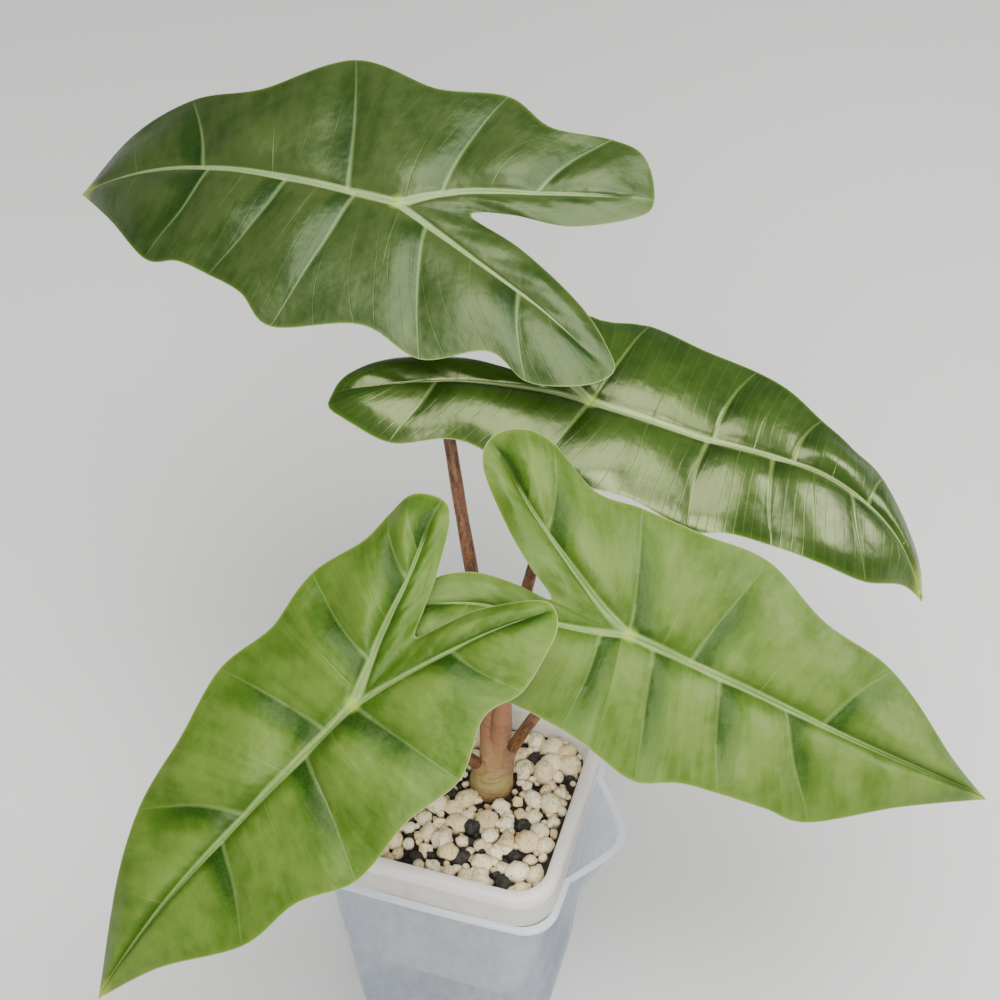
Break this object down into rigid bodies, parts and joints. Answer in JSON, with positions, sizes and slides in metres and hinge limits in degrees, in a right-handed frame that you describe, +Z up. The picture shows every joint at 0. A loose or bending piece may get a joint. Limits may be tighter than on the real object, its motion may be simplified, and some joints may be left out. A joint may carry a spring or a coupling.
{
  "type": "potted aroid house plant",
  "caption": "Arrow-leaved aroid with long-lobed, ribbed blades on mottled stalks, in a frosted square self-watering pot with a spout, filled with pumice.",
  "frame": {"origin": "centre of the pot's flat underside", "axes": "+Z up; +X along the pot's front, towards the watering spout; +Y to the back"},
  "size_m": [0.4473, 0.3472, 0.3508],
  "materials": {
    "outer_plastic": "frosted translucent, bluish",
    "inner_plastic": "frosted translucent white, satin",
    "mix": "rough ivory pumice with dark specks and dark granules",
    "base": "fibrous brown and olive old sheaths",
    "stalk": "terracotta brown mottled with dark red-brown streaks",
    "blade_mature": "glossy dark green with pale ribs",
    "blade_young": "satin light green with pale ribs"
  },
  "bodies": {
    "root": {"outer_pot": "outer_plastic", "inner_pot": "inner_plastic", "potting_mix": "mix", "stem_base": "base", "petiole_top": "stalk", "petiole_back": "stalk", "petiole_front": "stalk", "petiole_right": "stalk", "blade_top": "blade_mature", "blade_back": "blade_mature", "blade_front": "blade_young", "blade_right": "blade_young"}
  },
  "joints": []
}
